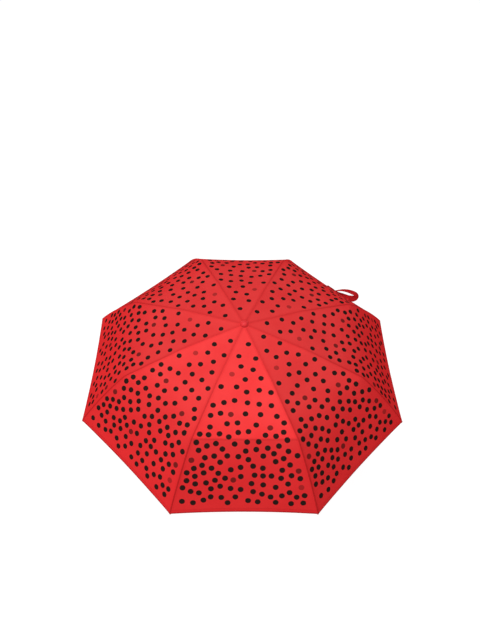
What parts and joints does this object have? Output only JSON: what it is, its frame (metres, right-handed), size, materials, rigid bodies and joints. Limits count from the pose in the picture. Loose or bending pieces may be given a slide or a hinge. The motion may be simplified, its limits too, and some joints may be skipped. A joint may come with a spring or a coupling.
{
  "type": "folding children's umbrella",
  "caption": "Small folding umbrella with a dotted cloth canopy on hinged three-section ribs, a telescoping shaft, sliding runner, closure band and moulded handle.",
  "frame": {"origin": "centre of the handle's bottom face, on the shaft's axis", "axes": "+Z along the shaft towards the cap; -Y towards the front; +X to the right"},
  "size_m": [0.8336, 0.8336, 0.55],
  "materials": {
    "canopy_cloth": "satin weave",
    "band_cloth": "satin weave",
    "red_plastic": "moulded",
    "grip_plastic": "fine moulded grain",
    "black_plastic": "moulded",
    "tube_steel": "plated, drawn along its length",
    "rib_steel": "plated strip",
    "rib_wire": "drawn wire",
    "tip_metal": "satin"
  },
  "bodies": {
    "handle": {"handle_grip": "grip_plastic", "handle_cap": "red_plastic", "tube_bottom": "tube_steel"},
    "shaft_middle": {"tube_middle": "tube_steel"},
    "shaft_top": {"tube_top": "tube_steel", "crown": "black_plastic", "crown_wire": "rib_steel", "cap": "red_plastic", "canopy": "canopy_cloth"},
    "runner": {"runner": "black_plastic", "runner_wire": "rib_steel"},
    "button": {"runner_button": "red_plastic"},
    "inner_0": {"rib_inner_0": "rib_steel"},
    "stretcher_0": {"stretcher_0": "rib_steel"},
    "middle_0": {"rib_middle_0": "rib_steel"},
    "outer_0": {"rib_outer_0": "rib_wire", "rib_tip_0": "tip_metal", "closure_band": "band_cloth"},
    "inner_1": {"rib_inner_1": "rib_steel"},
    "stretcher_1": {"stretcher_1": "rib_steel"},
    "middle_1": {"rib_middle_1": "rib_steel"},
    "outer_1": {"rib_outer_1": "rib_wire", "rib_tip_1": "tip_metal"},
    "inner_2": {"rib_inner_2": "rib_steel"},
    "stretcher_2": {"stretcher_2": "rib_steel"},
    "middle_2": {"rib_middle_2": "rib_steel"},
    "outer_2": {"rib_outer_2": "rib_wire", "rib_tip_2": "tip_metal"},
    "inner_3": {"rib_inner_3": "rib_steel"},
    "stretcher_3": {"stretcher_3": "rib_steel"},
    "middle_3": {"rib_middle_3": "rib_steel"},
    "outer_3": {"rib_outer_3": "rib_wire", "rib_tip_3": "tip_metal"},
    "inner_4": {"rib_inner_4": "rib_steel"},
    "stretcher_4": {"stretcher_4": "rib_steel"},
    "middle_4": {"rib_middle_4": "rib_steel"},
    "outer_4": {"rib_outer_4": "rib_wire", "rib_tip_4": "tip_metal"},
    "inner_5": {"rib_inner_5": "rib_steel"},
    "stretcher_5": {"stretcher_5": "rib_steel"},
    "middle_5": {"rib_middle_5": "rib_steel"},
    "outer_5": {"rib_outer_5": "rib_wire", "rib_tip_5": "tip_metal"},
    "inner_6": {"rib_inner_6": "rib_steel"},
    "stretcher_6": {"stretcher_6": "rib_steel"},
    "middle_6": {"rib_middle_6": "rib_steel"},
    "outer_6": {"rib_outer_6": "rib_wire", "rib_tip_6": "tip_metal"},
    "inner_7": {"rib_inner_7": "rib_steel"},
    "stretcher_7": {"stretcher_7": "rib_steel"},
    "middle_7": {"rib_middle_7": "rib_steel"},
    "outer_7": {"rib_outer_7": "rib_wire", "rib_tip_7": "tip_metal"}
  },
  "joints": [
    {"name": "canopy_fold", "type": "hinge", "parent": "shaft_top", "child": "inner_0", "pos_m": [0.00831, 0.00344, 0.538], "axis": [-0.3827, 0.9239, 0], "range_deg": [0, 77.5], "deforming": ["canopy", "closure_band"]},
    {"name": "stretcher_fold_0", "type": "hinge", "parent": "inner_0", "child": "stretcher_0", "pos_m": [0.09003, 0.03729, 0.5203], "axis": [-0.3827, 0.9239, 0], "range_deg": [-155.01, 0]},
    {"name": "middle_fold_0", "type": "hinge", "parent": "inner_0", "child": "middle_0", "pos_m": [0.15571, 0.06731, 0.51685], "axis": [-0.3827, 0.9239, 0], "range_deg": [-180.84, 0]},
    {"name": "outer_fold_0", "type": "hinge", "parent": "middle_0", "child": "outer_0", "pos_m": [0.29337, 0.12152, 0.48189], "axis": [-0.3827, 0.9239, 0], "range_deg": [0, 147.26]},
    {"name": "inner_fold_1", "type": "hinge", "parent": "shaft_top", "child": "inner_1", "pos_m": [0.00344, 0.00831, 0.538], "axis": [-0.9239, 0.3827, 0], "range_deg": [0, 77.5]},
    {"name": "stretcher_fold_1", "type": "hinge", "parent": "inner_1", "child": "stretcher_1", "pos_m": [0.03729, 0.09003, 0.5203], "axis": [-0.9239, 0.3827, 0], "range_deg": [-155.01, 0]},
    {"name": "middle_fold_1", "type": "hinge", "parent": "inner_1", "child": "middle_1", "pos_m": [0.06251, 0.1577, 0.51685], "axis": [-0.9239, 0.3827, 0], "range_deg": [-180.84, 0]},
    {"name": "outer_fold_1", "type": "hinge", "parent": "middle_1", "child": "outer_1", "pos_m": [0.12152, 0.29337, 0.48189], "axis": [-0.9239, 0.3827, 0], "range_deg": [0, 147.26]},
    {"name": "inner_fold_2", "type": "hinge", "parent": "shaft_top", "child": "inner_2", "pos_m": [-0.00344, 0.00831, 0.538], "axis": [-0.9239, -0.3827, 0], "range_deg": [0, 77.5]},
    {"name": "stretcher_fold_2", "type": "hinge", "parent": "inner_2", "child": "stretcher_2", "pos_m": [-0.03729, 0.09003, 0.5203], "axis": [-0.9239, -0.3827, 0], "range_deg": [-155.01, 0]},
    {"name": "middle_fold_2", "type": "hinge", "parent": "inner_2", "child": "middle_2", "pos_m": [-0.06731, 0.15571, 0.51685], "axis": [-0.9239, -0.3827, 0], "range_deg": [-180.84, 0]},
    {"name": "outer_fold_2", "type": "hinge", "parent": "middle_2", "child": "outer_2", "pos_m": [-0.12152, 0.29337, 0.48189], "axis": [-0.9239, -0.3827, 0], "range_deg": [0, 147.26]},
    {"name": "inner_fold_3", "type": "hinge", "parent": "shaft_top", "child": "inner_3", "pos_m": [-0.00831, 0.00344, 0.538], "axis": [-0.3827, -0.9239, 0], "range_deg": [0, 77.5]},
    {"name": "stretcher_fold_3", "type": "hinge", "parent": "inner_3", "child": "stretcher_3", "pos_m": [-0.09003, 0.03729, 0.5203], "axis": [-0.3827, -0.9239, 0], "range_deg": [-155.01, 0]},
    {"name": "middle_fold_3", "type": "hinge", "parent": "inner_3", "child": "middle_3", "pos_m": [-0.1577, 0.06251, 0.51685], "axis": [-0.3827, -0.9239, 0], "range_deg": [-180.84, 0]},
    {"name": "outer_fold_3", "type": "hinge", "parent": "middle_3", "child": "outer_3", "pos_m": [-0.29337, 0.12152, 0.48189], "axis": [-0.3827, -0.9239, 0], "range_deg": [0, 147.26]},
    {"name": "inner_fold_4", "type": "hinge", "parent": "shaft_top", "child": "inner_4", "pos_m": [-0.00831, -0.00344, 0.538], "axis": [0.3827, -0.9239, 0], "range_deg": [0, 77.5]},
    {"name": "stretcher_fold_4", "type": "hinge", "parent": "inner_4", "child": "stretcher_4", "pos_m": [-0.09003, -0.03729, 0.5203], "axis": [0.3827, -0.9239, 0], "range_deg": [-155.01, 0]},
    {"name": "middle_fold_4", "type": "hinge", "parent": "inner_4", "child": "middle_4", "pos_m": [-0.15571, -0.06731, 0.51685], "axis": [0.3827, -0.9239, 0], "range_deg": [-180.84, 0]},
    {"name": "outer_fold_4", "type": "hinge", "parent": "middle_4", "child": "outer_4", "pos_m": [-0.29337, -0.12152, 0.48189], "axis": [0.3827, -0.9239, 0], "range_deg": [0, 147.26]},
    {"name": "inner_fold_5", "type": "hinge", "parent": "shaft_top", "child": "inner_5", "pos_m": [-0.00344, -0.00831, 0.538], "axis": [0.9239, -0.3827, 0], "range_deg": [0, 77.5]},
    {"name": "stretcher_fold_5", "type": "hinge", "parent": "inner_5", "child": "stretcher_5", "pos_m": [-0.03729, -0.09003, 0.5203], "axis": [0.9239, -0.3827, 0], "range_deg": [-155.01, 0]},
    {"name": "middle_fold_5", "type": "hinge", "parent": "inner_5", "child": "middle_5", "pos_m": [-0.06251, -0.1577, 0.51685], "axis": [0.9239, -0.3827, 0], "range_deg": [-180.84, 0]},
    {"name": "outer_fold_5", "type": "hinge", "parent": "middle_5", "child": "outer_5", "pos_m": [-0.12152, -0.29337, 0.48189], "axis": [0.9239, -0.3827, 0], "range_deg": [0, 147.26]},
    {"name": "inner_fold_6", "type": "hinge", "parent": "shaft_top", "child": "inner_6", "pos_m": [0.00344, -0.00831, 0.538], "axis": [0.9239, 0.3827, 0], "range_deg": [0, 77.5]},
    {"name": "stretcher_fold_6", "type": "hinge", "parent": "inner_6", "child": "stretcher_6", "pos_m": [0.03729, -0.09003, 0.5203], "axis": [0.9239, 0.3827, 0], "range_deg": [-155.01, 0]},
    {"name": "middle_fold_6", "type": "hinge", "parent": "inner_6", "child": "middle_6", "pos_m": [0.06731, -0.15571, 0.51685], "axis": [0.9239, 0.3827, 0], "range_deg": [-180.84, 0]},
    {"name": "outer_fold_6", "type": "hinge", "parent": "middle_6", "child": "outer_6", "pos_m": [0.12152, -0.29337, 0.48189], "axis": [0.9239, 0.3827, 0], "range_deg": [0, 147.26]},
    {"name": "inner_fold_7", "type": "hinge", "parent": "shaft_top", "child": "inner_7", "pos_m": [0.00831, -0.00344, 0.538], "axis": [0.3827, 0.9239, 0], "range_deg": [0, 77.5]},
    {"name": "stretcher_fold_7", "type": "hinge", "parent": "inner_7", "child": "stretcher_7", "pos_m": [0.09003, -0.03729, 0.5203], "axis": [0.3827, 0.9239, 0], "range_deg": [-155.01, 0]},
    {"name": "middle_fold_7", "type": "hinge", "parent": "inner_7", "child": "middle_7", "pos_m": [0.1577, -0.06251, 0.51685], "axis": [0.3827, 0.9239, 0], "range_deg": [-180.84, 0]},
    {"name": "outer_fold_7", "type": "hinge", "parent": "middle_7", "child": "outer_7", "pos_m": [0.29337, -0.12152, 0.48189], "axis": [0.3827, 0.9239, 0], "range_deg": [0, 147.26]},
    {"name": "runner_turn", "type": "hinge", "parent": "stretcher_0", "child": "runner", "pos_m": [0.00831, 0.00344, 0.50261], "axis": [-0.3827, 0.9239, 0], "range_deg": [0, 77.51]},
    {"name": "runner_button_press", "type": "slide", "parent": "runner", "child": "button", "axis": [-1, 0, 0], "range_m": [0, 0.0014], "stiffness_N_per_m": 200},
    {"name": "shaft_lower", "type": "slide", "parent": "handle", "child": "shaft_middle", "axis": [0, 0, -1], "range_m": [0, 0.116]},
    {"name": "shaft_upper", "type": "slide", "parent": "shaft_middle", "child": "shaft_top", "axis": [0, 0, -1], "range_m": [0, 0.129]}
  ],
  "couplings": [
    {"joint": "stretcher_fold_0", "follows": "canopy_fold", "ratio": -2},
    {"joint": "middle_fold_0", "follows": "canopy_fold", "ratio": -2.3333},
    {"joint": "outer_fold_0", "follows": "canopy_fold", "ratio": 1.9},
    {"joint": "inner_fold_1", "follows": "canopy_fold", "ratio": 1},
    {"joint": "stretcher_fold_1", "follows": "canopy_fold", "ratio": -2},
    {"joint": "middle_fold_1", "follows": "canopy_fold", "ratio": -2.3333},
    {"joint": "outer_fold_1", "follows": "canopy_fold", "ratio": 1.9},
    {"joint": "inner_fold_2", "follows": "canopy_fold", "ratio": 1},
    {"joint": "stretcher_fold_2", "follows": "canopy_fold", "ratio": -2},
    {"joint": "middle_fold_2", "follows": "canopy_fold", "ratio": -2.3333},
    {"joint": "outer_fold_2", "follows": "canopy_fold", "ratio": 1.9},
    {"joint": "inner_fold_3", "follows": "canopy_fold", "ratio": 1},
    {"joint": "stretcher_fold_3", "follows": "canopy_fold", "ratio": -2},
    {"joint": "middle_fold_3", "follows": "canopy_fold", "ratio": -2.3333},
    {"joint": "outer_fold_3", "follows": "canopy_fold", "ratio": 1.9},
    {"joint": "inner_fold_4", "follows": "canopy_fold", "ratio": 1},
    {"joint": "stretcher_fold_4", "follows": "canopy_fold", "ratio": -2},
    {"joint": "middle_fold_4", "follows": "canopy_fold", "ratio": -2.3333},
    {"joint": "outer_fold_4", "follows": "canopy_fold", "ratio": 1.9},
    {"joint": "inner_fold_5", "follows": "canopy_fold", "ratio": 1},
    {"joint": "stretcher_fold_5", "follows": "canopy_fold", "ratio": -2},
    {"joint": "middle_fold_5", "follows": "canopy_fold", "ratio": -2.3333},
    {"joint": "outer_fold_5", "follows": "canopy_fold", "ratio": 1.9},
    {"joint": "inner_fold_6", "follows": "canopy_fold", "ratio": 1},
    {"joint": "stretcher_fold_6", "follows": "canopy_fold", "ratio": -2},
    {"joint": "middle_fold_6", "follows": "canopy_fold", "ratio": -2.3333},
    {"joint": "outer_fold_6", "follows": "canopy_fold", "ratio": 1.9},
    {"joint": "inner_fold_7", "follows": "canopy_fold", "ratio": 1},
    {"joint": "stretcher_fold_7", "follows": "canopy_fold", "ratio": -2},
    {"joint": "middle_fold_7", "follows": "canopy_fold", "ratio": -2.3333},
    {"joint": "outer_fold_7", "follows": "canopy_fold", "ratio": 1.9},
    {"joint": "runner_turn", "follows": "canopy_fold", "ratio": 1}
  ]
}
